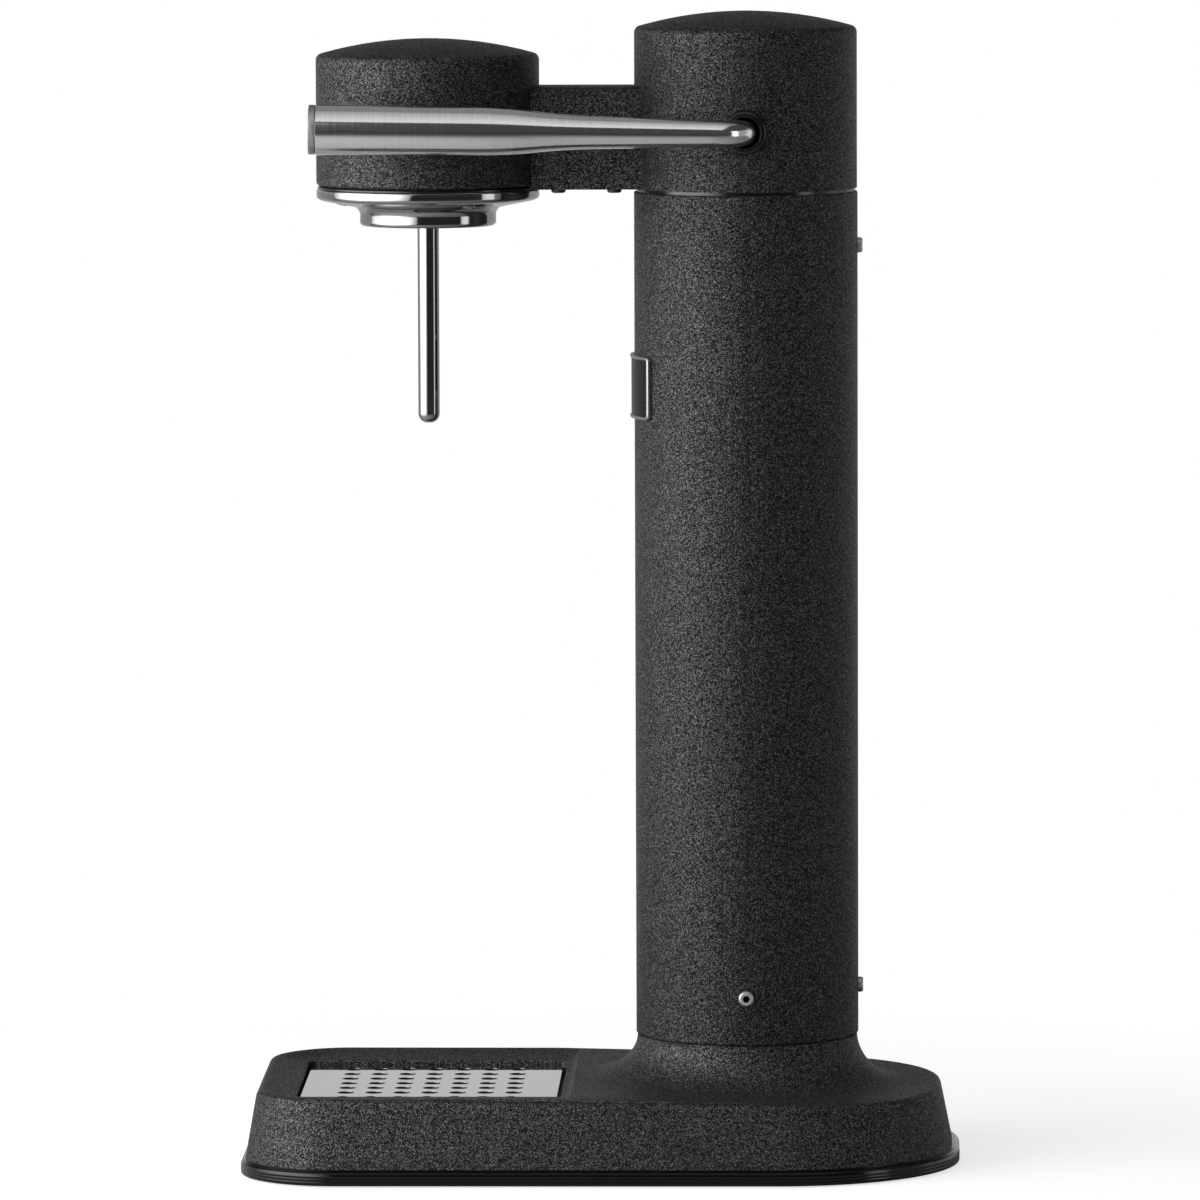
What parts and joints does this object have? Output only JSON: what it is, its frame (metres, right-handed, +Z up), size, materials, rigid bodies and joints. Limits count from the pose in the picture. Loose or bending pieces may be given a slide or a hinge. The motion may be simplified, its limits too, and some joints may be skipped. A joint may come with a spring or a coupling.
{
  "type": "soda carbonator",
  "caption": "Countertop soda carbonator with a flat base and drip tray, a round column holding a gas cylinder, and a head with a pull lever and a nozzle over the bottle bay.",
  "frame": {"origin": "on the surface it stands on, under the middle of the base's box", "axes": "+Z up, the bottle bay faces -Y, the lever is on +X"},
  "size_m": [0.153, 0.2574, 0.414],
  "materials": {
    "powder_coat": "fine sand-texture matte black powder coat",
    "gloss_black": "gloss black moulding",
    "badge_black": "gloss black enamel, bare",
    "black_plastic": "matte moulded",
    "black_rubber": "matte",
    "brushed_steel": "satin brushed",
    "plain_steel": "machined",
    "black_steel": "black oxide",
    "polished_steel": "polished stainless steel",
    "brass": "turned",
    "aluminium": "machined"
  },
  "bodies": {
    "machine": {"base_casting": "powder_coat", "column_tube": "powder_coat", "head_shell": "powder_coat", "arm_cover": "powder_coat", "base_rim": "gloss_black", "lever_bush": "gloss_black", "seam_ring": "gloss_black", "badge_plate": "badge_black", "base_plate": "black_plastic", "nozzle_body": "black_plastic", "base_feet": "black_rubber", "valve_seal": "black_rubber", "plunger_o_ring": "black_rubber", "bottle_seal": "black_rubber", "base_screws": "plain_steel", "column_side_screws": "plain_steel", "column_rear_screws": "plain_steel", "bracket_screws": "plain_steel", "carrier_screws": "plain_steel", "plunger_spring": "plain_steel", "nozzle_screws": "plain_steel", "arm_cover_screws": "black_steel", "badge_frame": "polished_steel", "splash_ring": "polished_steel", "splash_screws": "polished_steel", "bottle_collar": "polished_steel", "nozzle_tube": "polished_steel", "shaft_bushes": "brass", "valve_block": "brass", "gas_pipe": "brass", "pipe_nuts": "brass", "relief_valve": "brass", "shaft_bracket": "aluminium", "valve_carrier": "aluminium"},
    "lever": {"lever_tube": "brushed_steel", "lever_end_cap": "brushed_steel", "pivot_shaft": "plain_steel", "shaft_clip": "plain_steel", "cam": "plain_steel"},
    "plunger": {"plunger": "plain_steel"},
    "tray": {"drip_tray": "black_plastic"},
    "grate": {"drip_grate": "brushed_steel", "grate_pads": "black_rubber"},
    "cylinder": {"gas_cylinder": "aluminium", "cylinder_valve": "brass"},
    "valve_pin": {"valve_pin": "plain_steel"}
  },
  "joints": [
    {"name": "lever_pull", "type": "hinge", "parent": "machine", "child": "lever", "pos_m": [0, 0.05225, 0.372], "axis": [1, 0, 0], "range_deg": [0, 35], "stiffness_Nm_per_rad": 0.6, "springref_deg": -40.11},
    {"name": "plunger_travel", "type": "slide", "parent": "machine", "child": "plunger", "axis": [0, 0, -1], "range_m": [0, 0.0025], "deforming": ["plunger_spring"]},
    {"name": "valve_pin_travel", "type": "slide", "parent": "cylinder", "child": "valve_pin", "axis": [0, 0, -1], "range_m": [0, 0.0025]},
    {"name": "tray_lift", "type": "slide", "parent": "machine", "child": "tray", "axis": [0, 0, 1], "range_m": [0, 0.06]},
    {"name": "grate_lift", "type": "slide", "parent": "tray", "child": "grate", "axis": [0, 0, 1], "range_m": [0, 0.06]},
    {"name": "cylinder_withdraw", "type": "slide", "parent": "machine", "child": "cylinder", "axis": [0, 0, -1], "range_m": [0, 0.34]}
  ],
  "couplings": [
    {"joint": "plunger_travel", "follows": "lever_pull", "m_per_rad": 0.0040925},
    {"joint": "valve_pin_travel", "follows": "lever_pull", "m_per_rad": 0.0040925}
  ]
}
